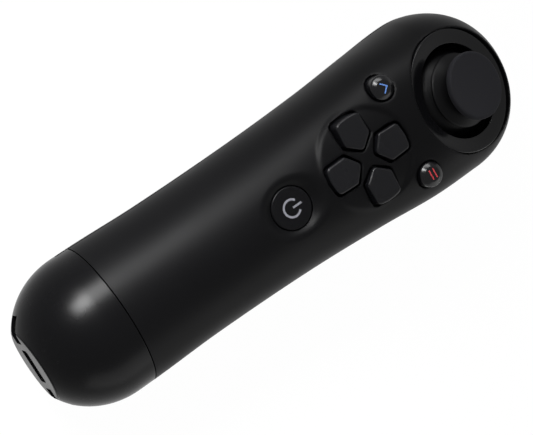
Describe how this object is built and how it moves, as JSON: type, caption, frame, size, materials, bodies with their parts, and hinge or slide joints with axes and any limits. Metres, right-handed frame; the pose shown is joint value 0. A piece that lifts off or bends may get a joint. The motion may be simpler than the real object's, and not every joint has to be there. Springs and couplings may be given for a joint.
{
  "type": "motion navigation controller",
  "caption": "One-handed motion navigation controller: round-backed grip with analog stick, direction keys, side buttons, home button, trigger and shoulder button.",
  "frame": {"origin": "under the middle of the object, on the table it lies on, key face up", "axes": "+X to the user's right, +Y along the grip from the tail to the stick's head, +Z out of the key face"},
  "size_m": [0.042, 0.138, 0.0414],
  "materials": {
    "casing": "satin black, fine grain",
    "tail": "gloss black",
    "ring": "mirror gloss black",
    "grip": "matte dark grey rubber",
    "dome": "semi-matte black",
    "keys": "semi-gloss black",
    "home": "gloss black",
    "nylon": "natural acetal",
    "sensor": "dark green moulding",
    "steel": "plated steel",
    "contact": "gold-plated brass",
    "board": "green board with solder mask",
    "keypad": "grey silicone rubber",
    "cell": "foil pouch",
    "switch": "black moulding"
  },
  "bodies": {
    "casing": {"front_shell": "casing", "rear_shell": "casing", "tail_cap": "tail", "ring": "ring", "stick_housing": "steel", "stick_sensors": "sensor", "stick_switch": "switch", "stick_board": "board", "stick_screws": "steel", "rubber_keypad": "keypad", "main_board": "board", "board_screws": "steel", "battery_cell": "cell", "battery_tray": "casing", "tail_board": "board", "socket_shell": "steel", "socket_tongue": "switch", "contacts": "contact", "hinge_pin": "steel", "shoulder_board": "board", "shoulder_switch": "switch", "shoulder_screws": "steel", "shell_screws": "steel"},
    "lower_yoke": {"lower_yoke": "nylon"},
    "stick_hub": {"stick_hub": "nylon"},
    "stick": {"stick_cap": "grip", "stick_dome": "dome", "stick_shaft": "steel"},
    "upper_arc": {"upper_arc": "nylon"},
    "key_up": {"key_up": "keys"},
    "key_down": {"key_down": "keys"},
    "key_left": {"key_left": "keys"},
    "key_right": {"key_right": "keys"},
    "home_button": {"home_button": "home"},
    "left_button": {"left_button": "keys"},
    "right_button": {"right_button": "keys"},
    "trigger": {"trigger": "keys"},
    "shoulder_button": {"shoulder_button": "keys"}
  },
  "joints": [
    {"name": "stick_side_tilt", "type": "hinge", "parent": "casing", "child": "lower_yoke", "pos_m": [0, 0.04642, 0.02167], "axis": [0, 0.9627, -0.2706], "range_deg": [-13.5, 13.5], "stiffness_Nm_per_rad": 0.03},
    {"name": "stick_front_tilt", "type": "hinge", "parent": "lower_yoke", "child": "stick_hub", "pos_m": [0, 0.04642, 0.02167], "axis": [1, 0, 0], "range_deg": [-13.5, 13.5], "stiffness_Nm_per_rad": 0.03},
    {"name": "stick_press", "type": "slide", "parent": "stick_hub", "child": "stick", "axis": [0, -0.2706, -0.9627], "range_m": [0, 0.0004], "stiffness_N_per_m": 500, "springref_m": -0.002},
    {"name": "upper_arc_tilt", "type": "hinge", "parent": "casing", "child": "upper_arc", "pos_m": [0, 0.04642, 0.02167], "axis": [1, 0, 0], "range_deg": [-13.5, 13.5]},
    {"name": "key_up_press", "type": "slide", "parent": "casing", "child": "key_up", "axis": [0, 0, -1], "range_m": [0, 0.0006], "stiffness_N_per_m": 200, "springref_m": -0.003},
    {"name": "key_down_press", "type": "slide", "parent": "casing", "child": "key_down", "axis": [0, 0, -1], "range_m": [0, 0.0006], "stiffness_N_per_m": 200, "springref_m": -0.003},
    {"name": "key_left_press", "type": "slide", "parent": "casing", "child": "key_left", "axis": [0, 0, -1], "range_m": [0, 0.0006], "stiffness_N_per_m": 200, "springref_m": -0.003},
    {"name": "key_right_press", "type": "slide", "parent": "casing", "child": "key_right", "axis": [0, 0, -1], "range_m": [0, 0.0006], "stiffness_N_per_m": 200, "springref_m": -0.003},
    {"name": "home_button_press", "type": "slide", "parent": "casing", "child": "home_button", "axis": [0, 0, -1], "range_m": [0, 0.0006], "stiffness_N_per_m": 200, "springref_m": -0.003},
    {"name": "left_button_press", "type": "slide", "parent": "casing", "child": "left_button", "axis": [0, 0, -1], "range_m": [0, 0.0006], "stiffness_N_per_m": 200, "springref_m": -0.003},
    {"name": "right_button_press", "type": "slide", "parent": "casing", "child": "right_button", "axis": [0, 0, -1], "range_m": [0, 0.0006], "stiffness_N_per_m": 200, "springref_m": -0.003},
    {"name": "trigger_pull", "type": "hinge", "parent": "casing", "child": "trigger", "pos_m": [0, 0.0405, 0.00945], "axis": [-1, 0, 0], "range_deg": [0, 15], "stiffness_Nm_per_rad": 0.05, "springref_deg": -28.65},
    {"name": "shoulder_press", "type": "slide", "parent": "casing", "child": "shoulder_button", "axis": [0, 0, 1], "range_m": [0, 0.0007], "stiffness_N_per_m": 200, "springref_m": -0.004}
  ],
  "couplings": [
    {"joint": "upper_arc_tilt", "follows": "stick_front_tilt", "ratio": 1}
  ]
}
